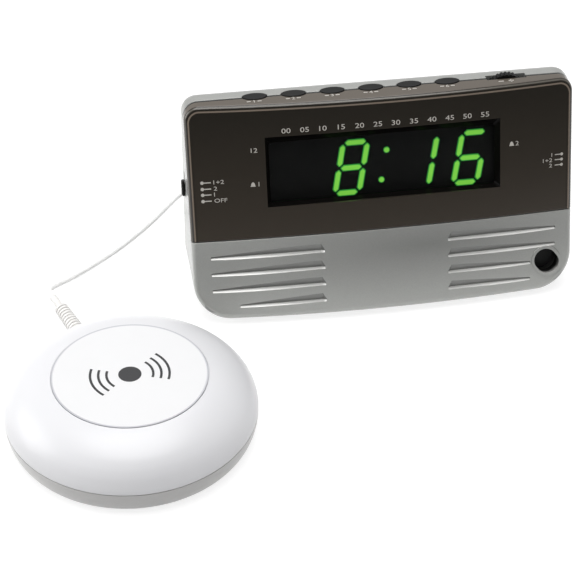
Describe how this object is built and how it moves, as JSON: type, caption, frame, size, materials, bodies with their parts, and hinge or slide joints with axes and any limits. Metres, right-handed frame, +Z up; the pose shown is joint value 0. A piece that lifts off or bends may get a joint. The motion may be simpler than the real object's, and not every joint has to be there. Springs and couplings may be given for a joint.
{
  "type": "bed shaker alarm clock",
  "caption": "Leaning desk alarm clock with a wide lit display, keys along the top and slide switches on its sides, with a round corded vibrating puck that goes under a mattress.",
  "frame": {"origin": "on the table, in the middle of the rectangle that the clock and the shaker cover together", "axes": "+X to the right across the clock's face, +Y from the face to the back, +Z up"},
  "size_m": [0.2764, 0.2518, 0.1034],
  "materials": {
    "smoked_plastic": "smoked brown, glossy",
    "smoked_pane": "clear smoked acrylic",
    "silver_plastic": "silver satin",
    "display_black": "matt black",
    "lit_green": "lit diffuser",
    "circuit_board": "green solder mask",
    "black_plastic": "satin black",
    "steel": "zinc plated",
    "nickel": "nickel plated",
    "brass": "turned",
    "black_rubber": "matt",
    "white_plastic": "white, soft gloss",
    "grey_white_plastic": "white, soft gloss",
    "white_label": "printed film, matt",
    "white_rubber": "moulded, matt",
    "white_cord": "soft vinyl",
    "black_tie": "hook and loop strap"
  },
  "bodies": {
    "clock": {"smoked_cover": "smoked_plastic", "display_window": "smoked_pane", "front_panel": "silver_plastic", "rear_case": "silver_plastic", "led_module": "display_black", "lit_segments": "lit_green", "main_board": "circuit_board", "clock_chip": "black_plastic", "capacitors": "black_plastic", "board_screws": "steel", "key_board": "circuit_board", "push_switches": "black_plastic", "tone_pot": "black_plastic", "mode_switch": "black_plastic", "alarm_switch": "black_plastic", "siren": "black_plastic", "power_inlet": "black_plastic", "shaker_jack": "black_plastic", "battery_bay": "black_plastic", "battery_snaps": "nickel", "rubber_feet": "black_rubber", "case_screws": "steel", "shaker_top": "white_plastic", "shaker_base": "grey_white_plastic", "shaker_label": "white_label", "shaker_screws": "steel", "shaker_motor": "steel", "motor_strap": "steel", "strain_relief": "white_rubber", "cord_lead": "white_cord", "cord_coil": "white_cord", "coil_tie": "black_tie", "cord_tail": "white_cord", "shaker_plug": "white_rubber"},
    "dimmer_key": {"dimmer_key": "black_plastic"},
    "snooze_key": {"snooze_key": "black_plastic"},
    "alarm_key": {"alarm_key": "black_plastic"},
    "clock_key": {"clock_key": "black_plastic"},
    "hour_key": {"hour_key": "black_plastic"},
    "minute_key": {"minute_key": "black_plastic"},
    "tone_wheel": {"tone_wheel": "black_plastic"},
    "mode_knob": {"mode_knob": "black_plastic"},
    "alarm_knob": {"alarm_knob": "black_plastic"},
    "battery_door": {"battery_door": "silver_plastic"},
    "shaker_weight": {"shaker_weight": "brass"}
  },
  "joints": [
    {"name": "dimmer_key_press", "type": "slide", "parent": "clock", "child": "dimmer_key", "axis": [0, 0, -1], "range_m": [0, 0.0008], "stiffness_N_per_m": 300, "springref_m": -0.0005},
    {"name": "snooze_key_press", "type": "slide", "parent": "clock", "child": "snooze_key", "axis": [0, 0, -1], "range_m": [0, 0.0008], "stiffness_N_per_m": 300, "springref_m": -0.0005},
    {"name": "alarm_key_press", "type": "slide", "parent": "clock", "child": "alarm_key", "axis": [0, 0, -1], "range_m": [0, 0.0008], "stiffness_N_per_m": 300, "springref_m": -0.0005},
    {"name": "clock_key_press", "type": "slide", "parent": "clock", "child": "clock_key", "axis": [0, 0, -1], "range_m": [0, 0.0008], "stiffness_N_per_m": 300, "springref_m": -0.0005},
    {"name": "hour_key_press", "type": "slide", "parent": "clock", "child": "hour_key", "axis": [0, 0, -1], "range_m": [0, 0.0008], "stiffness_N_per_m": 300, "springref_m": -0.0005},
    {"name": "minute_key_press", "type": "slide", "parent": "clock", "child": "minute_key", "axis": [0, 0, -1], "range_m": [0, 0.0008], "stiffness_N_per_m": 300, "springref_m": -0.0005},
    {"name": "tone_wheel_turn", "type": "hinge", "parent": "clock", "child": "tone_wheel", "pos_m": [0.10535, 0.0731, 0.0939], "axis": [0, 1, 0], "range_deg": [-135, 135]},
    {"name": "mode_slide", "type": "slide", "parent": "clock", "child": "mode_knob", "axis": [0, 0.3087, 0.9512], "range_m": [-0.0029, 0.0059]},
    {"name": "alarm_slide", "type": "slide", "parent": "clock", "child": "alarm_knob", "axis": [0, 0.3087, 0.9512], "range_m": [-0.00255, 0.00255]},
    {"name": "battery_door_hinge", "type": "hinge", "parent": "clock", "child": "battery_door", "pos_m": [0.07505, 0.0829, 0.022], "axis": [-1, 0, 0], "range_deg": [0, 100]},
    {"name": "shaker_spin", "type": "hinge", "parent": "clock", "child": "shaker_weight", "pos_m": [-0.08295, -0.0288, 0.0146], "axis": [1, 0, 0], "continuous": true}
  ]
}
